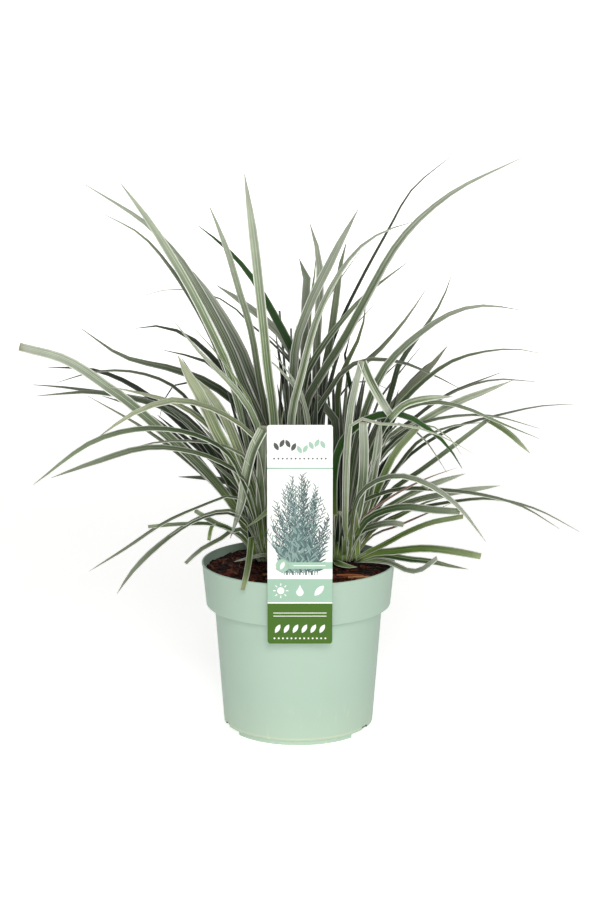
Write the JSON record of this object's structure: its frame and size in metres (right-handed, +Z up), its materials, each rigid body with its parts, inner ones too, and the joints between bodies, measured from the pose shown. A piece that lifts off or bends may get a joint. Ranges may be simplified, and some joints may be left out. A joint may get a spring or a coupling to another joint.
{
  "type": "potted silver mondo grass",
  "caption": "Clump of arching silver-green strap leaves in a round pale green nursery pot with a collar, with a plain banded plant label hung over its rim",
  "frame": {"origin": "where the pot's upright axis meets the surface that its foot stands on", "axes": "+Z up, -Y towards the front where the label hangs, +X to the right as seen from the front"},
  "size_m": [0.5315, 0.3928, 0.5617],
  "materials": {
    "pot_plastic": "soft matt mint green moulded plastic with faint scuffs near the foot",
    "potting_mix": "dark red-brown bark crumbs and fibre with a few pale wood chips",
    "label_card": "thin printed card with a satin face: white, mint and deep green bands",
    "leaf_silver": "satin strap leaf, grey-green with silvery cream margins and fine lengthwise veins",
    "leaf_green": "satin strap leaf, mid green with paler margins and fine lengthwise veins",
    "leaf_dark": "satin strap leaf, deep green with a thin pale edge and fine lengthwise veins"
  },
  "bodies": {
    "root": {"pot": "pot_plastic", "soil": "potting_mix", "label": "label_card", "tuft_row1_left": "leaf_green", "tuft_row1_right": "leaf_silver", "tuft_row2_left": "leaf_silver", "tuft_row2_right": "leaf_green", "tuft_row3_left": "leaf_silver", "tuft_row3_centre": "leaf_silver", "tuft_row3_right": "leaf_green", "tuft_row4_left": "leaf_dark", "tuft_row4_centre": "leaf_silver", "tuft_row4_right": "leaf_dark", "tuft_row5_left": "leaf_silver", "tuft_row5_centre": "leaf_dark", "tuft_row5_right": "leaf_green", "tuft_row6_centre": "leaf_silver", "tuft_row6_right": "leaf_green", "tuft_row6_left": "leaf_green", "tuft_row7_left": "leaf_green", "tuft_row7_right": "leaf_green"}
  },
  "joints": []
}
